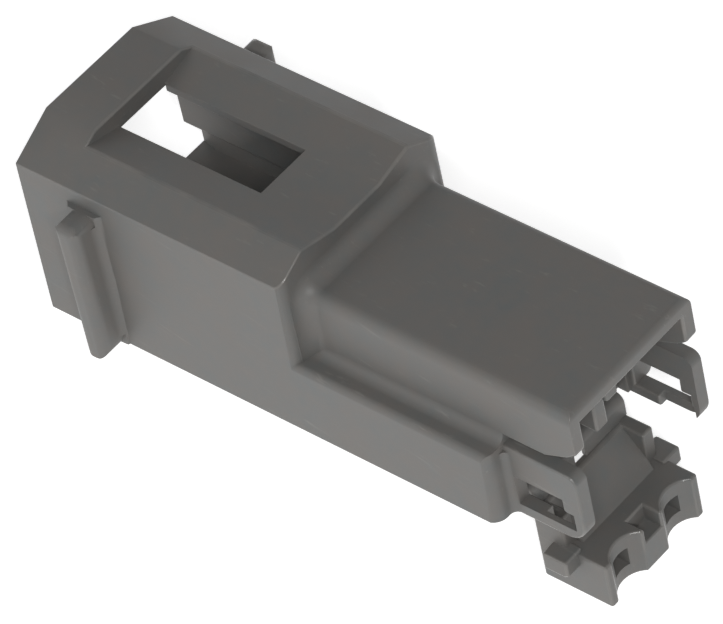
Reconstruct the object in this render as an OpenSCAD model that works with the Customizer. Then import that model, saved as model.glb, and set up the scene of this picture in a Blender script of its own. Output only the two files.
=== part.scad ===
// Two-way blade connector housing with a hinged rear cover, moulded in one shot of nylon.
// The housing is drawn in its own directions: X runs from the mouth to the wire end, Y across
// the two ways and Z up. module resting() then sets the part down as it lies on a bench, nose
// on its lower front edge and rear propped on the open cover. The origin is the middle of that
// lower front edge. All sizes are in millimetres.

/* [Shroud] */
// Length of the shroud along its top
shroud_length = 21.4; // [20.5:0.1:24]
// Width of the shroud at its base
shroud_width = 15.52; // [15:0.1:17]
// Width of the shroud at its shoulders, less than the base by the moulding draft
shoulder_width = 15.06; // [14.4:0.02:15.1]
// Height of the shoulders, where the upper chamfers start
shoulder_height = 12.37; // [11.6:0.01:13]
// Thickness of the side walls
side_wall = 1.4; // [1.2:0.05:1.46]
// Thickness of the side walls beside the wide foot of the cavity
foot_wall = 0.6; // [0.5:0.05:0.9]
// Thickness of the floor
floor_wall = 1.5; // [1.2:0.1:1.9]
// Thickness of the ridged top at the window's edges
top_wall = 0.6; // [0.5:0.05:0.8]
// Depth of the mating cavity from the mouth
mating_depth = 18; // [16.5:0.1:19]

/* [Ridged top] */
// Length of the raised bar over the mouth
bar_length = 4.1; // [3:0.1:4.2]
// Height of the bar's flat top
bar_height = 14.25; // [13.9:0.05:15]
// Thickness of the bar
bar_thickness = 1.45; // [1.2:0.05:1.8]
// Distance of each ridge line from the middle
ridge_offset = 5.08; // [4.8:0.02:5.6]
// Height of the ridge lines
ridge_height = 13.7; // [13.4:0.05:14]
// Height of the plate in the valley between the ridges
valley_height = 12.95; // [12.8:0.05:13.1]
// Width of the window and of the valley
window_width = 4.25; // [4.2:0.05:5.6]
// Length of the valley plate behind the window
plate_length = 5.9; // [4:0.1:8]
// Thickness of the valley plate
plate_wall = 1; // [0.8:0.05:1.2]

/* [Side ribs] */
// Distance from the mouth to the ribs
rib_start = 4.5; // [3:0.1:8]
// Width of each rib along the shroud
rib_width = 1.9; // [1.6:0.1:3]
// Distance between the outer faces of the two ribs
rib_span = 19.4; // [18.4:0.1:21]
// Height of the ribs
rib_height = 11.2; // [9:0.1:12]

/* [Rear body] */
// Length of the whole housing to the edge of its roof
body_length = 41.8; // [41:0.1:43]
// Width of the rear body
body_width = 11.68; // [11.4:0.02:12]
// Height of the roof
roof_height = 10.87; // [10.4:0.01:11.4]
// Thickness of the roof
roof_wall = 1.2; // [1:0.05:1.5]
// Height of the side rails
rail_height = 5.8; // [5:0.1:6.2]
// How far the rails end short of the roof's rear edge
rail_inset = 5.7; // [5.4:0.1:6]
// Height of the lower edge of the upper side walls
upper_wall_low = 6.3; // [6.1:0.05:6.8]

/* [Terminal cavities] */
// Distance between the middles of the two cavities
pitch = 5; // [4.8:0.05:5.1]
// Width of each cavity
cavity_width = 3.9; // [3.6:0.05:3.9]
// Height of the cavity floor
cavity_floor = 4.5; // [4.2:0.05:4.8]
// Radius of the cavity's lower corners
cavity_corner = 1.1; // [0.5:0.05:1.5]
// Thickness of the front wall with the blade slots
front_wall = 1.4; // [1:0.1:2]
// Width of a blade slot, for a 2.8 mm blade
blade_slot_width = 3.1; // [2.9:0.05:3.4]
// Height of a blade slot, for a 0.8 mm blade
blade_slot_height = 1.1; // [0.9:0.05:1.4]

/* [Latch arms] */
// Distance between the inner faces of the two arms
arm_gap = 10.2; // [10.1:0.05:10.4]
// Thickness of each arm
arm_thickness = 1.02; // [0.9:0.02:1.2]
// Height of the arms
arm_height = 5.7; // [5.4:0.05:5.8]
// How far the arms end short of the roof's rear edge
arm_inset = 0.2; // [-0.2:0.1:0.4]

/* [Rear cover] */
// Width of the cover without its lugs
cover_width = 9.05; // [8.6:0.05:9.2]
// Thickness of the cover's plate
plate_thickness = 3.54; // [3:0.02:4]
// Height of the cover's plate when it is shut
plate_height = 5.3; // [4.9:0.05:5.5]
// Height of the block between the plate and the hinge
block_height = 2.3; // [1.9:0.05:2.5]
// Distance across the tips of the two lugs
lug_span = 11.3; // [11.1:0.05:11.5]
// Diameter of the wire notches in the cover's free end
notch_diameter = 3.43; // [3:0.01:3.8]
// Depth of the wire notches
notch_depth = 0.8; // [0.5:0.05:1]
// Angle that the cover stands open
cover_open = 90; // [0:1:110]

/* [Hinge] */
// Distance from the roof's rear edge forward to the hinge axis
hinge_inset = 6.62; // [6.5:0.01:6.7]
// Drop of the hinge axis below the housing's underside
hinge_drop = 0.52; // [0.4:0.01:0.6]
// Thickness of the hinge webs
web_thickness = 0.35; // [0.25:0.05:0.4]
// Width of each of the two hinge webs
web_width = 4; // [2:0.1:4.2]

/* [Hidden] */
$fn = 48;
// Overrun of a cutter past the face it opens
over = 0.5;
// Least running clearance between the cover and the housing
clearance = 0.05;
nylon = [0.17, 0.17, 0.165];

shroud_half = shroud_width / 2;
shoulder_half = shoulder_width / 2;
window_half = window_width / 2;
body_half = body_width / 2;
arm_inner = arm_gap / 2;
arm_outer = arm_inner + arm_thickness;
window_end = shroud_length - plate_length;

// Moulding draft of the shroud's sides, which the rails share
draft = atan((shroud_half - shoulder_half) / shoulder_height);
// The bar carries the upper chamfers on at the same slope
chamfer_slope = (ridge_height - shoulder_height) / (shoulder_half - ridge_offset);
bar_half = shoulder_half - (bar_height - shoulder_height) / chamfer_slope;

// Radii on the outside of the housing and in its inside corners
roof_round = 0.8;
roof_lip = 0.5;
rail_round = 0.5;
rail_nose = 1;
// How far the rounded rear corners are set out from the base, to meet the drafted walls cleanly
nose_set = 0.06;
shroud_nose = 1.1;
step_fillet = 1.2;
ledge_fillet = 0.8;
rib_round = 0.75;
rib_fillet = 0.9;

// The mating cavity: a wide foot for the mating part's rails below a narrower upper part
foot_half = shroud_half - foot_wall;
foot_height = 4.2;
foot_lead = 0.3;
foot_lead_depth = 1.2;
cavity_half = shoulder_half - side_wall;
cavity_shoulder = shoulder_height - 0.62;

// Distances behind the hinge axis: the shut cover's inner face, the lugs' rear faces, the rear
// ends of the arms' windows and the rear ends of the slots behind them
cover_reach_in = 3.42;
lug_reach = 4.58;
window_reach = 5.07;
slot_reach = 5.77;
// Length of the rising part of the upper walls' lower edges
wall_rise = 2.5;
// How far the rails and the rear body run into the shroud
body_root = 2;

// The rear end is set out from the hinge axis and from the roof's rear edge
hinge_x = body_length - hinge_inset;
rail_end = body_length - rail_inset;
arm_end = body_length - arm_inset;
wall_rise_start = body_length - wall_rise;

// The block that holds the terminal cavities, and the pocket below its end for the cover
pocket_front = hinge_x + 0.12;
pocket_top = 2.9;
block_end = rail_end + 0.7;
block_half = arm_inner - 0.2;
recess_half = body_half - 1;
cavity_top = roof_height - roof_wall;

// The cover, shut: its inner face stands just behind the divider between the cavities
cover_inner = hinge_x + cover_reach_in;
cover_outer = cover_inner + plate_thickness;
cover_front = hinge_x + 0.88;
cover_half = cover_width / 2;
ramp_half = cover_half - 1;
ramp_low = 0.6;
ramp_high = pocket_top - 0.1;

// The divider runs on over the shut cover
divider_half = (pitch - cavity_width) / 2;
divider_end = cover_inner - 0.1;
divider_step = plate_height + 0.95;
divider_overhang = 1.3;

// The lugs, shut, and the arc that their ends sweep about the hinge
lug_low = 1.25;
lug_high = 3.15;
lug_front = cover_inner - 0.2;
lug_rear = hinge_x + lug_reach;
lug_swing = 5.7;

// The L-shaped window of each arm: a tall front part for the lug at rest, and a low slot behind
// it that the lug's end sweeps through
arm_window_front = hinge_x + 1.42;
arm_window_rear = hinge_x + window_reach;
arm_window_low = 0.9;
arm_window_high = 3.3;
arm_slot_end = hinge_x + slot_reach;
arm_slot_high = 2.3;
arm_root_fillet = arm_window_front - rail_end;

// Place of a point of the shut cover, given from the hinge axis, once the cover is open
function swung(p) = [
    hinge_x + p.x * cos(cover_open) + p.y * sin(cover_open),
    p.y * cos(cover_open) - p.x * sin(cover_open) - hinge_drop
];
cover_reach = cover_outer - hinge_x;
cover_corners = [
    swung([cover_reach, hinge_drop]),
    swung([cover_reach, hinge_drop + plate_height])
];
// Angle that lifts the rear until the lowest cover edge and the lower front edge stand level
rest_tilt = max(0, max([for (c = cover_corners) atan2(-c.y, c.x)]));

// A right-hand outline followed by its mirror image across the middle plane
function mirrored(half) = concat(half, [for (i = [len(half) - 1:-1:0]) [-half[i].x, half[i].y]]);

// Sets the part down on its lower front edge and on the open cover
module resting() {
    rotate([0, -rest_tilt, 0])
        children();
}

// Swings the shut cover open about the hinge axis
module swing_open() {
    translate([hinge_x, 0, -hinge_drop])
        rotate([0, cover_open, 0])
            translate([-hinge_x, 0, hinge_drop])
                children();
}

// Sweeps a cross-section drawn as (y, z) along X
module along_x(start, end) {
    translate([start, 0, 0])
        rotate([90, 0, 90])
            linear_extrude(end - start)
                children();
}

// Sweeps a side view drawn as (x, z) across Y, from one distance from the middle to another
module across_y(start, end) {
    translate([0, end, 0])
        rotate([90, 0, 0])
            linear_extrude(end - start)
                children();
}

// Makes a feature on both sides of the middle plane
module both_sides() {
    children();
    mirror([0, 1, 0])
        children();
}

// A rectangle between two corners
module box_2d(low, high) {
    translate(low)
        square(high - low);
}

// A rectangle whose top corners, or all four corners, are rounded
module rounded_2d(low, high, r, all_round = false) {
    difference() {
        box_2d(low, high);
        for (side = [0, 1], level = all_round ? [0, 1] : [1])
            translate([side == 0 ? low.x : high.x, level == 0 ? low.y : high.y])
                mirror([side, 0])
                    mirror([0, level])
                        corner_2d(r);
    }
}

// What a radius takes off a corner at the origin, for a shape that lies in +x and +y. The same
// outline fills an inside corner whose walls run along x and y
module corner_2d(r) {
    difference() {
        translate([-over, -over])
            square(r + over);
        translate([r, r])
            circle(r);
    }
}

// Outline of the shroud behind the bar: draft walls, outer chamfers, ridges and valley
module shroud_2d() {
    polygon(mirrored([
        [shroud_half, 0],
        [shoulder_half, shoulder_height],
        [ridge_offset, ridge_height],
        [window_half, valley_height]
    ]));
}

// Outline of the shroud at the bar, where the chamfers run on up to a flat top
module bar_2d() {
    polygon(mirrored([
        [shroud_half, 0],
        [shoulder_half, shoulder_height],
        [bar_half, bar_height]
    ]));
}

// Space inside the shroud below a ceiling at the given height
module cavity_2d(ceiling) {
    polygon(mirrored([
        [foot_half, floor_wall],
        [foot_half, foot_height],
        [cavity_half, foot_height],
        [cavity_half, cavity_shoulder],
        [cavity_half + cavity_shoulder - ceiling, ceiling]
    ]));
}

// What a radius takes off the upright rear corners at both sides of a wall end
module nose_cut(end, r, top) {
    both_sides()
        linear_extrude(top)
            translate([end, shroud_half + nose_set])
                mirror([1, 0])
                    mirror([0, 1])
                        corner_2d(r);
}

// The shroud and its bar, before the hollows are cut
module shroud_solid() {
    along_x(0, bar_length)
        bar_2d();
    difference() {
        along_x(bar_length / 2, shroud_length)
            shroud_2d();
        translate([0, 0, -over])
            nose_cut(shroud_length, shroud_nose, bar_height);
    }
}

// The fillet between the shroud's rear face and the sides and roof of the rear body
module step_fillets() {
    both_sides() {
        translate([shroud_length, body_half, rail_height - over])
            linear_extrude(roof_height - roof_round - rail_height + over)
                corner_2d(step_fillet);
        // Round the roof's edge
        translate([shroud_length, body_half - roof_round, roof_height - roof_round])
            rotate([0, 90, 0])
                rotate_extrude()
                    translate([roof_round, 0])
                        corner_2d(step_fillet);
    }
    across_y(-body_half + roof_round, body_half - roof_round)
        translate([shroud_length, roof_height])
            corner_2d(step_fillet);
}

// The upright rib on each side, rounded along its outer edges and blended into the wall
module side_rib() {
    difference() {
        translate([rib_start, 0, 0])
            linear_extrude(rib_height) {
                intersection() {
                    rounded_2d([0, 0], [rib_width, rib_span / 2], rib_round);
                    box_2d([0, shoulder_half - 0.6], [rib_width, rib_span / 2]);
                }
                // The fillets start below the wall's surface and come out of it at a slant
                for (side = [0, 1])
                    translate([side * rib_width, wall_at(rib_height) - 0.1])
                        mirror([1 - side, 0])
                            corner_2d(rib_fillet);
            }
        // The cap falls away to its outer edge and to both of its ends
        along_x(rib_start - rib_fillet - over, rib_start + rib_width + rib_fillet + over)
            translate([rib_span / 2, rib_height])
                mirror([1, 0])
                    mirror([0, 1])
                        corner_2d(rib_round);
        across_y(shoulder_half + 0.4, rib_span)
            for (end = [0, 1])
                translate([rib_start + end * rib_width, rib_height])
                    mirror([end, 0])
                        mirror([0, 1])
                            corner_2d(rib_round);
        // Lower rear corner
        across_y(shroud_half + 0.1, rib_span)
            translate([rib_start + rib_width, 0])
                mirror([1, 0])
                    corner_2d(1);
    }
}

// Half width of the drafted side wall at a height
function wall_at(z) = shroud_half - z * tan(draft);

// Cross-section of both side rails: the shroud's drafted sides under a rounded top edge
module rail_2d() {
    centre = [
        wall_at(rail_height - rail_round) - rail_round / cos(draft),
        rail_height - rail_round
    ];
    touch = centre + rail_round * [cos(draft), sin(draft)];
    difference() {
        polygon(mirrored([
            [shroud_half, 0],
            [wall_at(rail_height), rail_height]
        ]));
        for (side = [0, 1])
            mirror([side, 0])
                difference() {
                    polygon([
                        centre,
                        touch,
                        touch + [over, 0],
                        [touch.x + over, rail_height + over],
                        [centre.x, rail_height + over]
                    ]);
                    translate(centre)
                        circle(rail_round);
                }
    }
}

// The two rails with the body between them, up to their rear ends
module rails() {
    difference() {
        along_x(shroud_length - body_root, rail_end)
            rail_2d();
        translate([0, 0, -over])
            nose_cut(rail_end, rail_nose, bar_height);
    }
    both_sides()
        along_x(shroud_length - 1, rail_end)
            translate([body_half, rail_height])
                corner_2d(ledge_fillet);
}

// The upper body: roof and side walls, whose lower edges rise towards the rear
module upper_body() {
    difference() {
        union() {
            along_x(shroud_length - 1, rail_end)
                rounded_2d([-body_half, 0], [body_half, roof_height], roof_round);
            along_x(rail_end - 1, body_length)
                rounded_2d([-body_half, upper_wall_low], [body_half, roof_height], roof_round);
        }
        across_y(-body_width, body_width)
            polygon([
                [wall_rise_start, upper_wall_low - over],
                [wall_rise_start, upper_wall_low],
                [body_length - 0.7, upper_wall_low + 0.75],
                [body_length, upper_wall_low + 1.3],
                [body_length + over, upper_wall_low + 1.3],
                [body_length + over, upper_wall_low - over]
            ]);
        // Rounded lip along the roof's rear edge
        across_y(-body_width, body_width)
            translate([body_length, roof_height])
                mirror([1, 0])
                    mirror([0, 1])
                        corner_2d(roof_lip);
    }
}

// The end of the block that holds the terminal cavities
module block_solid() {
    translate([rail_end - 1, -block_half, pocket_top])
        cube([block_end - rail_end + 1, 2 * block_half, roof_height - roof_round - pocket_top]);
}

// The divider between the cavities, with its overhang above the shut cover
module divider() {
    translate([block_end - 1, -divider_half, pocket_top])
        cube([divider_end - block_end + 1, 2 * divider_half, cavity_top + over - pocket_top]);
    translate([divider_end - 1, -divider_half, divider_step])
        cube([divider_overhang + 1, 2 * divider_half, cavity_top + over - divider_step]);
}

// One terminal cavity with its round lower corners, open at the rear
module terminal_cavity() {
    along_x(mating_depth + front_wall, block_end + 1)
        translate([pitch / 2, cavity_floor + cavity_top])
            mirror([0, 1])
                rounded_2d(
                    [-cavity_width / 2, cavity_floor],
                    [cavity_width / 2, cavity_top],
                    cavity_corner
                );
}

// Slot for a mating blade, with a funnel towards the mouth
module blade_slot() {
    middle = cavity_floor + 1.7;
    translate([mating_depth - over, pitch / 2 - blade_slot_width / 2, middle - blade_slot_height / 2])
        cube([front_wall + 2 * over, blade_slot_width, blade_slot_height]);
    // Funnel cut as two wedges, one across the slot's height and one across its width
    across_y(pitch / 2 - blade_slot_width / 2, pitch / 2 + blade_slot_width / 2)
        polygon([
            [mating_depth - 0.1, middle - blade_slot_height / 2 - 0.5],
            [mating_depth + 0.6, middle - blade_slot_height / 2],
            [mating_depth + 0.6, middle + blade_slot_height / 2],
            [mating_depth - 0.1, middle + blade_slot_height / 2 + 0.5]
        ]);
}

// Space between the arms and under the roof, for the cover and the wires
module rear_recess() {
    translate([block_end, -recess_half, 0])
        cube([body_length - block_end + over, 2 * recess_half, cavity_top]);
}

// Side view of a latch arm with its L-shaped window
module arm_2d() {
    difference() {
        box_2d([rail_end - 0.4, 0], [arm_end, arm_height]);
        translate([arm_end, 0])
            mirror([1, 0])
                corner_2d(1.5);
        translate([arm_end, arm_height])
            mirror([1, 0])
                mirror([0, 1])
                    corner_2d(0.7);
        box_2d([arm_window_front, arm_window_low], [arm_window_rear, arm_window_high]);
        box_2d([arm_window_front, arm_window_low], [arm_slot_end, arm_slot_high]);
    }
}

// A latch arm, with a groove inside it that leads the lug up into the window
module latch_arm() {
    difference() {
        across_y(arm_inner, arm_outer)
            arm_2d();
        across_y(arm_inner - over, lug_span / 2 + clearance)
            box_2d([lug_front, -over], [arm_slot_end + 0.2, arm_window_low + over]);
    }
    // Fillet between the rail's end and the arm
    translate([rail_end, arm_outer, 0])
        linear_extrude(rail_height - rail_round)
            corner_2d(arm_root_fillet);
}

module housing() {
    color(nylon)
        resting() {
            difference() {
                union() {
                    shroud_solid();
                    rails();
                    upper_body();
                    block_solid();
                    step_fillets();
                    both_sides()
                        side_rib();
                }
                // Mating cavity, which is highest below the bar
                along_x(-over, bar_length)
                    cavity_2d(bar_height - bar_thickness);
                along_x(bar_length / 2, window_end)
                    cavity_2d(valley_height - top_wall);
                along_x(window_end - 1, mating_depth)
                    cavity_2d(valley_height - plate_wall);
                // Lead-in on the foot of the mouth
                both_sides()
                    translate([0, 0, floor_wall])
                        linear_extrude(foot_height - floor_wall)
                            polygon([
                                [-over, foot_half - 0.1],
                                [-over, foot_half + foot_lead],
                                [0, foot_half + foot_lead],
                                [foot_lead_depth, foot_half],
                                [foot_lead_depth, foot_half - 0.1]
                            ]);
                // Window in the top
                translate([bar_length, -window_half, foot_height])
                    cube([window_end - bar_length, window_width, bar_height]);
                both_sides() {
                    terminal_cavity();
                    blade_slot();
                }
                rear_recess();
                // Pocket for the cover's block
                translate([pocket_front, -block_half, -over])
                    cube([block_end - pocket_front + over, 2 * block_half, pocket_top + over]);
            }
            divider();
            both_sides()
                latch_arm();
        }
}

// The cover in its shut place
module cover_shut() {
    difference() {
        union() {
            translate([cover_inner, -cover_half, 0])
                cube([plate_thickness, cover_width, plate_height]);
            translate([cover_front, -cover_half, 0])
                cube([cover_inner - cover_front + over, cover_width, block_height]);
            across_y(-ramp_half, ramp_half)
                polygon([
                    [cover_front, 0],
                    [cover_inner + over, 0],
                    [cover_inner + over, ramp_high],
                    [cover_inner, ramp_high],
                    [cover_front, ramp_low]
                ]);
            both_sides()
                lug();
        }
        // Between its two cheeks the block slopes down to the hinge
        across_y(-ramp_half, ramp_half)
            polygon([
                [cover_front - over, ramp_low],
                [cover_front, ramp_low],
                [cover_inner, ramp_high],
                [cover_inner, ramp_high + over],
                [cover_front - over, ramp_high + over]
            ]);
        // Wire notches in the free end, each with a cored hole
        for (side = [-1, 1])
            translate([cover_inner, side * pitch / 2, 0]) {
                translate([-over, 0, plate_height - notch_depth + notch_diameter / 2])
                    rotate([0, 90, 0])
                        cylinder(h = plate_thickness + 2 * over, d = notch_diameter);
                translate([plate_thickness / 2 - 0.7, -0.7, 1.4])
                    cube([1.4, 1.4, plate_height]);
            }
        // Notch in the free end between the wires
        translate([cover_inner - over, -0.75, plate_height - 1.3])
            cube([over + 1.2, 1.5, 1.3 + over]);
    }
}

// The latch lug on one side, cut back to the arc that its end sweeps
module lug() {
    intersection() {
        translate([lug_front, cover_half - over, lug_low])
            cube([lug_rear - lug_front, lug_span / 2 - cover_half + over, lug_high - lug_low]);
        translate([hinge_x, 0, -hinge_drop])
            rotate([-90, 0, 0])
                cylinder(h = lug_span, r = lug_swing);
    }
}

module rear_cover() {
    color(nylon)
        resting()
            swing_open()
                cover_shut();
}

// Side view of a hinge web with the cover at its moulded angle
module web_2d() {
    bend = web_thickness * 1.5;
    web_end = -hinge_drop - (cover_front - hinge_x);
    web_right = hinge_x + hinge_drop + web_thickness;
    intersection() {
        difference() {
            translate([web_right - bend - web_thickness / 2, web_thickness - bend - web_thickness / 2])
                circle(bend + web_thickness / 2);
            translate([web_right - bend - web_thickness / 2, web_thickness - bend - web_thickness / 2])
                circle(bend - web_thickness / 2);
        }
        translate([web_right - bend - web_thickness / 2, web_thickness - bend - web_thickness / 2])
            square(2 * bend);
    }
    box_2d([pocket_front, 0], [web_right - bend - web_thickness / 2 + 0.01, web_thickness]);
    box_2d([web_right - web_thickness, web_end], [web_right, web_thickness - bend - web_thickness / 2 + 0.01]);
}

module hinge_webs() {
    color(nylon)
        resting()
            for (side = [-1, 1])
                across_y(side * pitch / 2 - web_width / 2, side * pitch / 2 + web_width / 2)
                    web_2d();
}

housing();
rear_cover();
hinge_webs();
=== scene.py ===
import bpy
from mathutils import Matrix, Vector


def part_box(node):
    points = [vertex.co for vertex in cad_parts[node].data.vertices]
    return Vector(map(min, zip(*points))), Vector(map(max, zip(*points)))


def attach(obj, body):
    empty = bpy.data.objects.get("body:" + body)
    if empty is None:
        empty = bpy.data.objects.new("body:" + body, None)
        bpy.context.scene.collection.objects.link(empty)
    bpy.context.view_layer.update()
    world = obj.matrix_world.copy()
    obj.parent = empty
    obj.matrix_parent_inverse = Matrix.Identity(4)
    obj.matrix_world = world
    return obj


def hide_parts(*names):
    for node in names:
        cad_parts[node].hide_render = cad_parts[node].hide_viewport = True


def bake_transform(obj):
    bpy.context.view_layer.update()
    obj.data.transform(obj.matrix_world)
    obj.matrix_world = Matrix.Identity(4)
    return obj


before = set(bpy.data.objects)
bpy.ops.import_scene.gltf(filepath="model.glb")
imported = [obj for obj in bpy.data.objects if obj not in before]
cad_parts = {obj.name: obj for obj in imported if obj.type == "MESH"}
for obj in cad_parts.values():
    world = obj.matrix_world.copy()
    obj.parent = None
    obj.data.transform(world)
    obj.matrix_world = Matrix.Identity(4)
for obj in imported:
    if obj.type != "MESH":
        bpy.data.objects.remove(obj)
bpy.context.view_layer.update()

import math

import bmesh
import bpy
import numpy as np
from mathutils import Euler, Vector

MM = 0.001
housing_low, housing_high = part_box("housing")

# ---------------------------------------------------------------------------------------------
# Camera. It looks down on the part from beyond its near rear corner, with a long lens, so that
# parallel edges stay nearly parallel.
# ---------------------------------------------------------------------------------------------
camera_place = [length * MM for length in (172.166, -188.615, 329.195)]
camera_turn = [math.radians(angle) for angle in (37.033, 0.160, 38.945)]

camera_data = bpy.data.cameras.new("camera")
camera_data.lens = 329.72
camera_data.sensor_width = 36
camera_data.clip_start = 0.01
camera_data.clip_end = 10
camera = bpy.data.objects.new("camera", camera_data)
camera.location = camera_place
camera.rotation_euler = Euler(camera_turn, "XYZ")
bpy.context.scene.collection.objects.link(camera)
bpy.context.scene.camera = camera
bpy.context.scene.view_settings.view_transform = "Standard"


# ---------------------------------------------------------------------------------------------
# Studio. The part lies on a pale glowing floor, which lights its upright faces, in a white
# surround. The main lamp is behind the camera, a small one beside it glints on edges, and a wide
# one stands low on the near side, towards the mouth.
# ---------------------------------------------------------------------------------------------
class Socket:
    """A shader socket with arithmetic: each operator adds one Math node to the same tree."""

    def __init__(self, tree, link):
        self.tree = tree
        self.link = link

    def _math(self, operation, a, b):
        return self.tree.node("ShaderNodeMath", {"operation": operation}, {0: a, 1: b})

    def __add__(self, other):
        return self._math("ADD", self, other)

    __radd__ = __add__

    def __mul__(self, other):
        return self._math("MULTIPLY", self, other)

    __rmul__ = __mul__

    def __sub__(self, other):
        return self._math("SUBTRACT", self, other)

    def __rsub__(self, other):
        return self._math("SUBTRACT", other, self)

    def larger(self, other):
        return self._math("MAXIMUM", self, other)


class Tree:
    """A node tree filled from Python: node() makes a node, sets it and links its inputs."""

    def __init__(self, block):
        block.use_nodes = True
        self.nodes = block.node_tree.nodes
        self.links = block.node_tree.links
        self.nodes.clear()

    def node(self, kind, settings=None, inputs=None, output=0):
        made = self.nodes.new(kind)
        for name, value in (settings or {}).items():
            setattr(made, name, value)
        for key, value in (inputs or {}).items():
            if isinstance(value, Socket):
                self.links.new(value.link, made.inputs[key])
            else:
                made.inputs[key].default_value = value
        return Socket(self, made.outputs[output]) if made.outputs else None


def white_rays(tree):
    """1 for the rays that see the surround as a white backdrop, 0 for the light that falls."""
    seen_by_camera = tree.node("ShaderNodeLightPath", output="Is Camera Ray")
    seen_in_gloss = tree.node("ShaderNodeLightPath", output="Is Glossy Ray")
    seen_through = tree.node("ShaderNodeLightPath", output="Is Transmission Ray")
    return seen_by_camera.larger(seen_in_gloss).larger(seen_through)


white = (1, 1, 1, 1)
backdrop_light = 1.0
fill_light = 0.12
world = bpy.data.worlds.new("surround")
bpy.context.scene.world = world
sky = Tree(world)
backdrop = sky.node("ShaderNodeBackground", {}, {"Color": white, "Strength": backdrop_light})
fill = sky.node("ShaderNodeBackground", {}, {"Color": white, "Strength": fill_light})
surround = sky.node("ShaderNodeMixShader", {}, {0: white_rays(sky), 1: fill, 2: backdrop})
sky.node("ShaderNodeOutputWorld", {}, {"Surface": surround})

# The glow that falls on the part is a little stronger and cooler than the glow that is seen
floor_half = 1.5
floor_gap = 0.02 * MM
floor_grey = (0.9, 0.9, 0.9, 1)
falling_glow, falling_light = (0.97, 0.99, 1, 1), 0.90
seen_light = 0.70
floor_mesh = bpy.data.meshes.new("floor")
floor_mesh.from_pydata(
    [(x * floor_half, y * floor_half, housing_low.z - floor_gap)
     for x, y in ((-1, -1), (1, -1), (1, 1), (-1, 1))], [], [(0, 1, 2, 3)])
floor = bpy.data.objects.new("floor", floor_mesh)
bpy.context.scene.collection.objects.link(floor)
floor_paint = bpy.data.materials.new("floor_paint")
paint = Tree(floor_paint)
pale = paint.node("ShaderNodeBsdfDiffuse", {}, {"Color": floor_grey})
bounce = paint.node("ShaderNodeEmission", {}, {"Color": falling_glow, "Strength": falling_light})
seen = paint.node("ShaderNodeEmission", {}, {"Color": white, "Strength": seen_light})
glow = paint.node("ShaderNodeMixShader", {}, {0: white_rays(paint), 1: bounce, 2: seen})
lit_floor = paint.node("ShaderNodeAddShader", {}, {0: pale, 1: glow})
paint.node("ShaderNodeOutputMaterial", {}, {"Surface": lit_floor})
floor.data.materials.append(floor_paint)

lamp_distance = 0.6


def soft_lamp(name, azimuth, elevation, size, power):
    """A square lamp aimed at the part's middle, placed by azimuth from -Y towards +X."""
    a, e = math.radians(azimuth), math.radians(elevation)
    middle = (housing_low + housing_high) / 2
    away = Vector((math.sin(a) * math.cos(e), -math.cos(a) * math.cos(e), math.sin(e)))
    lamp = bpy.data.lights.new(name, "AREA")
    lamp.shape = "SQUARE"
    lamp.size = size
    lamp.energy = power
    lit = bpy.data.objects.new(name, lamp)
    lit.location = middle + away * lamp_distance
    lit.rotation_euler = (-away).to_track_quat("-Z", "Y").to_euler()
    bpy.context.scene.collection.objects.link(lit)


soft_lamp("main", azimuth=38, elevation=52, size=0.12, power=1.3)
soft_lamp("glint", azimuth=50, elevation=42, size=0.04, power=0.9)
soft_lamp("front", azimuth=-30, elevation=20, size=0.4, power=0.6)


# ---------------------------------------------------------------------------------------------
# Housing. One nylon moulding. Its CAD solid has crisp edges, so a copy of it gets the small
# radius that the mould gives every outward edge, and the finish of a spark-eroded mould.
# ---------------------------------------------------------------------------------------------
edge_radius = 0.2 * MM
radius_steps = 3
# Corners closer than this are one corner, and faces that turn by less than this are one face
weld_gap = 0.003 * MM
flat_turn = math.radians(0.5)
# An outward edge that turns by more than this gets a radius
crisp_turn = math.radians(33)
# Share of the room beside an edge that its radius may use, and the least share worth a bevel
room_used = 0.4
least_share = 0.2
# Reach in metres that is no room at all, and reach that no face of the part has
no_room, endless_room = 1e-9, 1.0


def merged_shape(mesh):
    """The loose triangles of a CAD mesh as one closed shape, each flat face a single polygon."""
    shape = bmesh.new()
    shape.from_mesh(mesh)
    bmesh.ops.remove_doubles(shape, verts=shape.verts, dist=weld_gap)
    bmesh.ops.dissolve_degenerate(shape, edges=shape.edges, dist=weld_gap)
    bmesh.ops.dissolve_limit(shape, angle_limit=flat_turn, verts=shape.verts, edges=shape.edges)
    shape.normal_update()
    return shape


def room_beside(edge, side, crisp):
    """How much of a face lies beside one of its edges, measured square to that edge: as far as the
    face reaches opposite, and no further than the smooth edges that leave the edge's two ends."""
    start, end = side.vert.co, side.link_loop_next.vert.co
    along = (end - start).normalized()
    inward = side.face.normal.cross(along)
    middle = (start + end) / 2
    reach = [endless_room]
    for other in side.face.loops:
        p, q = other.vert.co - middle, other.link_loop_next.vert.co - middle
        before, after = p.dot(along), q.dot(along)
        leaves_end = other is side.link_loop_next or other is side.link_loop_prev
        if leaves_end and other.edge not in crisp:
            reach.append(abs((q - p).dot(inward)))
        elif other.edge is not edge and (before > 0) != (after > 0):
            share = before / (before - after)
            reach.append(p.dot(inward) * (1 - share) + q.dot(inward) * share)
    return min(room for room in reach if room > no_room)


def radius_shares(shape, radius):
    """The share of the full radius that the room beside each outward edge leaves it."""
    crisp = {edge for edge in shape.edges
             if edge.is_manifold and edge.calc_face_angle(0) > crisp_turn}
    shares = {}
    for edge in shape.edges:
        if edge in crisp and edge.is_convex:
            room = min(room_beside(edge, side, crisp) for side in edge.link_loops)
            shares[edge] = min(1, room_used * room / radius)
    return shares


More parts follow.
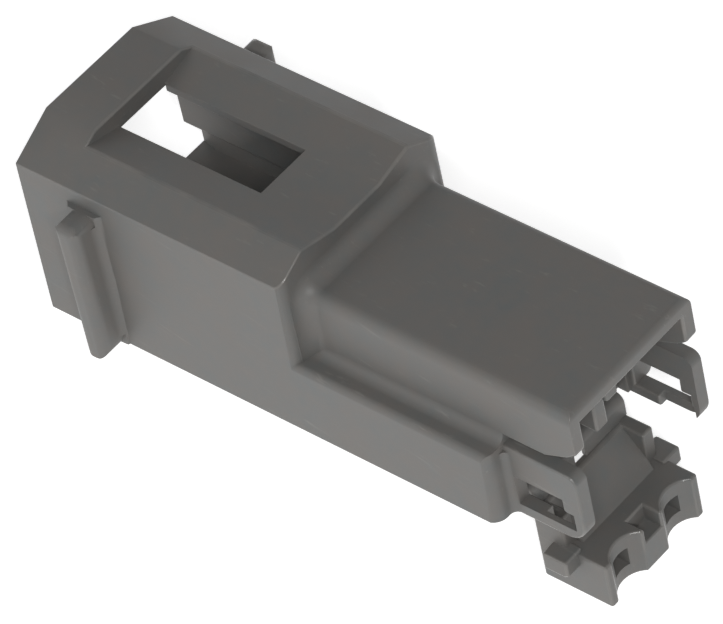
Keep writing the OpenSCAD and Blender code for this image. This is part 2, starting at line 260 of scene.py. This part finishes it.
def level_runs(shape, shares):
    """Where just two rounded edges meet, both get the smaller radius, and so on along a run."""
    meeting = [[edge for edge in vertex.link_edges if edge in shares] for vertex in shape.verts]
    pairs = [edges for edges in meeting if len(edges) == 2]
    uneven = True
    while uneven:
        uneven = False
        for first, second in pairs:
            if shares[first] != shares[second]:
                shares[first] = shares[second] = min(shares[first], shares[second])
                uneven = True


# Twice the area, in square metres, from which a triangle that faces backwards is a fold
least_fold = 4e-10
# Edges within this many radii of a fold shrink by this factor, for at most so many rounds
fold_reach = 1.2
fold_shrink = 0.75
most_rounds = 12


def folded_places(mesh):
    """Corners of the triangles that face against the polygon they belong to: where a bevel was
    too wide for its surroundings and the surface folds over itself."""
    mesh.calc_loop_triangles()
    place = np.array([vertex.co for vertex in mesh.vertices])
    facing = np.array([face.normal for face in mesh.polygons])
    corner = place[np.array([triangle.vertices for triangle in mesh.loop_triangles])]
    owner = np.array([triangle.polygon_index for triangle in mesh.loop_triangles])
    turn = np.cross(corner[:, 1] - corner[:, 0], corner[:, 2] - corner[:, 0])
    folded = np.einsum("ij,ij->i", turn, facing[owner]) < -least_fold
    return corner[folded].reshape(-1, 3)


def shrink_near(places, shares, radius):
    """Shrinks the radius of every edge that passes close to one of the given places. The nearest
    point of an edge is its start plus its span times the place's share of the way along it."""
    start = np.array([edge.verts[0].co for edge in shares])
    span = np.array([edge.verts[1].co for edge in shares]) - start
    distance = np.full(len(start), np.inf)
    for place in places:
        along = np.einsum("ij,ij->i", place - start, span) / np.einsum("ij,ij->i", span, span)
        nearest = start + span * np.clip(along, 0, 1)[:, None]
        distance = np.minimum(distance, np.linalg.norm(place - nearest, axis=1))
    for edge, gap in zip(list(shares), distance):
        if gap < fold_reach * radius:
            shares[edge] *= fold_shrink


# Faces that turn by less than this are shaded as one smooth surface
smooth_turn = math.radians(38)


def corner_normals(mesh):
    """Normals of all face corners: the mean, weighted by area, of the faces that meet at the
    corner's vertex and turn by less than the smooth angle, so flat faces are shaded flat."""
    facing = np.array([face.normal for face in mesh.polygons])
    area = np.array([face.area for face in mesh.polygons])
    corner_vertex = np.array([loop.vertex_index for loop in mesh.loops])
    corner_face = np.repeat(np.arange(len(mesh.polygons)),
                            [face.loop_total for face in mesh.polygons])
    around = [[] for _ in mesh.vertices]
    for vertex, face in zip(corner_vertex, corner_face):
        around[vertex].append(face)
    normals = np.empty((len(corner_vertex), 3))
    for corner, (vertex, face) in enumerate(zip(corner_vertex, corner_face)):
        near = np.array(around[vertex])
        near = near[facing[near] @ facing[face] > math.cos(smooth_turn)]
        normals[corner] = facing[face] if len(near) == 0 else area[near] @ facing[near]
    return normals / np.linalg.norm(normals, axis=1, keepdims=True)


def softened(node, name, radius):
    """A merged copy of a CAD node whose outward edges are rounded by a bevel.

    Where the faces beside an edge are narrow, the whole run of edges that it belongs to gets a
    smaller radius, which shrinks further until nothing folds. Inward edges stay crisp."""
    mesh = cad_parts[node].data.copy()
    mesh.materials.clear()
    plain_slot, bevel_slot = 0, 1
    for slot in (plain_slot, bevel_slot):
        mesh.materials.append(None)
    shape = merged_shape(mesh)
    weight = shape.edges.layers.float.new("bevel_weight_edge")
    shares = radius_shares(shape, radius)
    piece = bpy.data.objects.new(name, mesh)
    bpy.context.scene.collection.objects.link(piece)
    bevel = piece.modifiers.new("edge_radius", "BEVEL")
    bevel.width = radius
    bevel.segments = radius_steps
    bevel.limit_method = "WEIGHT"
    bevel.use_clamp_overlap = False
    bevel.material = bevel_slot
    for attempt in range(most_rounds):
        level_runs(shape, shares)
        for edge, share in shares.items():
            edge[weight] = share if share > least_share else 0
        shape.to_mesh(mesh)
        rounded = bpy.data.meshes.new_from_object(
            piece.evaluated_get(bpy.context.evaluated_depsgraph_get()))
        folds = folded_places(rounded)
        if len(folds) == 0:
            break
        shrink_near(folds, shares, radius)
    shape.free()
    piece.modifiers.clear()
    piece.data = rounded
    bpy.data.meshes.remove(mesh)
    rounded.name = name
    # Marks the vertices of the bevel faces. The material makes them smoother and paints a paler
    # highlight on them.
    polish_and_sheen_edges = np.ones(len(rounded.vertices))
    for face in rounded.polygons:
        if face.material_index == plain_slot:
            polish_and_sheen_edges[list(face.vertices)] = 0
        face.material_index = 0
    rounded.attributes.new("edge_polish_and_painted_sheen", "FLOAT", "POINT").data.foreach_set("value", polish_and_sheen_edges)
    rounded.materials.clear()
    rounded.shade_smooth()
    rounded.normals_split_custom_set(corner_normals(rounded))
    return piece


def moulded_nylon(name, shade, rough):
    """Dark glass-filled nylon: erosion grain, slow clouding between a warm and a cool grey, faint
    long scuffs, and outward edges that are smoother and carry a painted highlight that makes them
    paler."""
    material = bpy.data.materials.new(name)
    tree = Tree(material)
    place = tree.node("ShaderNodeTexCoord", output="Object")

    def noise(scale, detail, at=place):
        return tree.node("ShaderNodeTexNoise", {}, {
            "Vector": at, "Scale": scale, "Detail": detail, "Roughness": 0.6})

    def spread(value, low, high):
        """0 up to the low level, 1 from the high level on, and an even rise between them."""
        return tree.node("ShaderNodeMapRange", {"clamp": True}, {
            "Value": value, "From Min": low, "From Max": high, "To Min": 0.0, "To Max": 1.0})

    def blended(factor, first, second):
        """A mix of two colours. A colour Mix node takes them at inputs 6 and 7."""
        return tree.node("ShaderNodeMix", {"data_type": "RGBA"}, {
            "Factor": factor, 6: first, 7: second}, output=2)

    def tint(red, green, blue):
        return (shade[0] * red, shade[1] * green, shade[2] * blue, 1)

    # The streaks' noise is drawn out twenty times along X and then turned about Y
    drawn_out = (0.05, 1, 1)
    turned = (0, math.radians(11.83), 0)
    long_way = tree.node("ShaderNodeMapping", {}, {
        "Vector": place, "Scale": drawn_out, "Rotation": turned})
    clouds = noise(scale=260, detail=3)
    patches = noise(scale=420, detail=2)
    flow = noise(scale=1100, detail=2)
    streaks = noise(scale=3400, detail=3, at=long_way)
    grain = noise(scale=9000, detail=2)
    clouding = spread(clouds, 0.3, 0.7)
    scuffs = spread(streaks, 0.61, 0.72) * spread(patches, 0.46, 0.62)
    polish_and_sheen_edges = tree.node("ShaderNodeAttribute", {"attribute_name": "edge_polish_and_painted_sheen"}, output="Fac")
    # Painted highlight: the rounded edges are lightened, broken up by the clouds, to stand in for
    # the light their glints catch
    painted_edge_highlight = polish_and_sheen_edges * spread(clouds, 0.25, 0.7)

    colour = blended(clouding, tint(0.90, 0.95, 0.97), tint(1.10, 1.03, 0.99))
    colour = blended(spread(flow, 0.35, 0.7) * 0.5, colour, tint(1.12, 1.0, 0.94))
    colour = blended(scuffs * 0.45, colour, tint(1.7, 1.65, 1.6))
    # The painted highlight on the rounded edges
    colour = blended(painted_edge_highlight * 0.6, colour, tint(1.7, 1.62, 1.55))
    # The three patterns add 0.07 on average, which is taken off the plain roughness
    roughness = clouding * 0.08 + grain * 0.06 + scuffs * 0.08 + (rough - 0.07)
    roughness = roughness * (1 - polish_and_sheen_edges * 0.62)
    bump = tree.node("ShaderNodeBump", {}, {
        "Height": grain * 0.7 + streaks * 0.3, "Strength": 0.3, "Distance": 0.02 * MM})
    shader = tree.node("ShaderNodeBsdfPrincipled", {}, {
        "Base Color": colour, "Roughness": roughness, "Normal": bump,
        "Specular IOR Level": 0.35})
    tree.node("ShaderNodeOutputMaterial", {}, {"Surface": shader})
    return material


nylon_grey = (0.119, 0.119, 0.115)
nylon_roughness = 0.5
nylon = moulded_nylon("housing_nylon", nylon_grey, nylon_roughness)
housing = softened("housing", "moulded_housing", edge_radius)
housing.data.materials.append(nylon)
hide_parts("housing")
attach(housing, "housing_body")

# ---------------------------------------------------------------------------------------------
# Rear cover. It is moulded with the housing in the same nylon and swings on the hinge webs. Its
# edges get the housing's radius.
# ---------------------------------------------------------------------------------------------
cover = softened("rear_cover", "swing_cover", edge_radius)
cover.data.materials.append(nylon)
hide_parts("rear_cover")
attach(cover, "cover_body")

# ---------------------------------------------------------------------------------------------
# Hinge webs. Two thin strips of the same nylon that join the housing's underside to the cover,
# with a radius that suits their thickness. On the real part they bend as the cover turns; here
# they are one fixed mesh.
# ---------------------------------------------------------------------------------------------
web_radius = 0.04 * MM
webs = softened("hinge_webs", "bent_webs", web_radius)
webs.data.materials.append(nylon)
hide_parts("hinge_webs")
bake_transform(webs)
